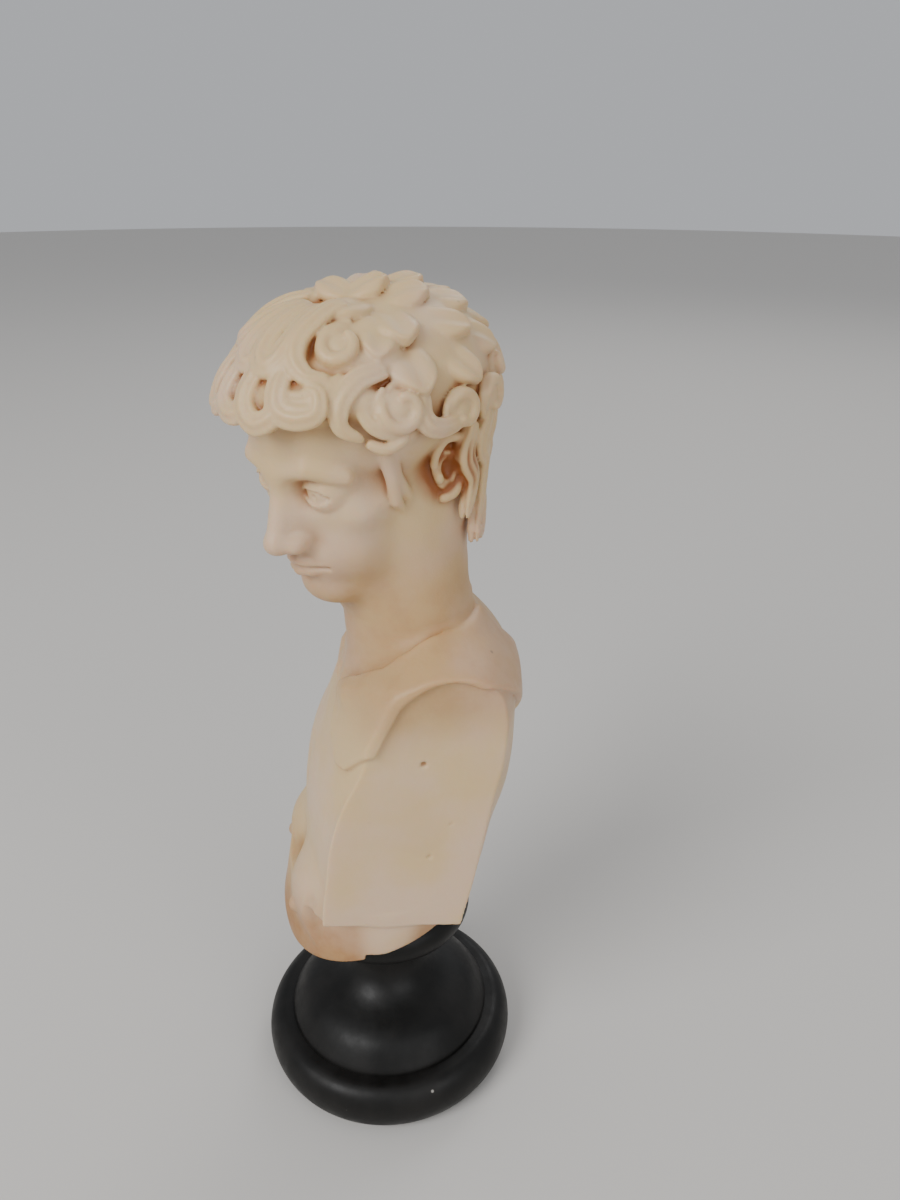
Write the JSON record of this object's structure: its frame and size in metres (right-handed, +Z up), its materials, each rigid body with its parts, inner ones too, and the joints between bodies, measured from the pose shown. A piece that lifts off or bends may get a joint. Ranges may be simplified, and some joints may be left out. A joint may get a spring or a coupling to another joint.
{
  "type": "bust on socle",
  "caption": "Classical portrait bust with curled hair and a shoulder sling, cast in cream marble resin and clamped on a black turned socle.",
  "frame": {"origin": "centre of the socle's foot, on the underside of the felt", "axes": "+Z up the socle's axis, -Y out of the chest, +X to the figure's left shoulder"},
  "size_m": [0.065, 0.0654, 0.2],
  "materials": {
    "cast_marble": "cream bonded marble, satin, brown in the hollows",
    "black_marble": "black, satin polish",
    "insert_brass": "turned, knurled",
    "seat_rubber": "thin sheet",
    "plated_steel": "zinc plated",
    "green_felt": "felted wool"
  },
  "bodies": {
    "root": {"bust_casting": "cast_marble", "threaded_insert": "insert_brass", "seat_washer": "seat_rubber", "socle_cap": "black_marble", "socle_bell": "black_marble", "socle_plinth": "black_marble", "clamping_rod": "plated_steel", "flat_washer": "plated_steel", "spring_washer": "plated_steel", "hex_nut": "plated_steel", "felt_pad": "green_felt"}
  },
  "joints": []
}
